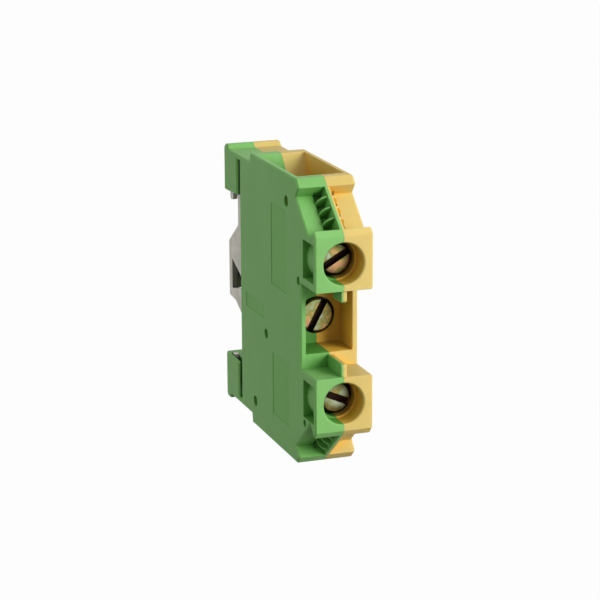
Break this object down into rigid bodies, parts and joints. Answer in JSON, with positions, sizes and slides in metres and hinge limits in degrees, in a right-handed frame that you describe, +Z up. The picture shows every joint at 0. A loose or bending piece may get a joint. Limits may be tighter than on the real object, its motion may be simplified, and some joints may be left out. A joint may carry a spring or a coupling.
{
  "type": "earth terminal block",
  "caption": "Narrow green and yellow rail-mounted earth terminal block with screw clamps at both ends and a steel rail foot drawn in by a middle screw.",
  "frame": {"origin": "on the front plane of the 35 mm rail, midway between its flanges and midway across the block", "axes": "+X along the rail, from the green shell to the yellow one; -Y out of the rail towards the screws; +Z up the long side, across the rail"},
  "size_m": [0.01, 0.0468, 0.0484],
  "materials": {
    "green_plastic": "moulded, satin",
    "yellow_plastic": "moulded, satin",
    "tinned_copper": "tinned, satin",
    "plated_steel": "zinc plated",
    "yellow_zinc_steel": "yellow passivated zinc"
  },
  "bodies": {
    "housing": {"green_shell": "green_plastic", "yellow_shell": "yellow_plastic", "current_bar": "tinned_copper", "contact_bridge": "plated_steel", "rail_screw_washer": "plated_steel"},
    "upper_screw": {"upper_clamp_screw": "yellow_zinc_steel"},
    "upper_yoke": {"upper_clamp_yoke": "yellow_zinc_steel"},
    "lower_screw": {"lower_clamp_screw": "yellow_zinc_steel"},
    "lower_yoke": {"lower_clamp_yoke": "yellow_zinc_steel"},
    "rail_screw": {"rail_screw": "yellow_zinc_steel"},
    "rail_foot": {"rail_foot": "plated_steel"}
  },
  "joints": [
    {"name": "upper_screw_turn", "type": "hinge", "parent": "housing", "child": "upper_screw", "pos_m": [0, -0.0238, 0.0117], "axis": [0, 1, 0], "range_deg": [0, 2520]},
    {"name": "upper_yoke_slide", "type": "slide", "parent": "housing", "child": "upper_yoke", "axis": [0, -1, 0], "range_m": [0, 0.0049]},
    {"name": "lower_screw_turn", "type": "hinge", "parent": "housing", "child": "lower_screw", "pos_m": [0, -0.0238, -0.0117], "axis": [0, 1, 0], "range_deg": [0, 2520]},
    {"name": "lower_yoke_slide", "type": "slide", "parent": "housing", "child": "lower_yoke", "axis": [0, -1, 0], "range_m": [0, 0.0049]},
    {"name": "rail_screw_turn", "type": "hinge", "parent": "housing", "child": "rail_screw", "pos_m": [0, -0.0238, 0], "axis": [0, 1, 0], "range_deg": [0, 1903]},
    {"name": "rail_foot_slide", "type": "slide", "parent": "housing", "child": "rail_foot", "axis": [0, -1, 0], "range_m": [0, 0.0037]}
  ],
  "couplings": [
    {"joint": "upper_screw_turn", "follows": "upper_yoke_slide", "rad_per_m": 8976},
    {"joint": "lower_screw_turn", "follows": "lower_yoke_slide", "rad_per_m": 8976},
    {"joint": "rail_screw_turn", "follows": "rail_foot_slide", "rad_per_m": 8976}
  ]
}
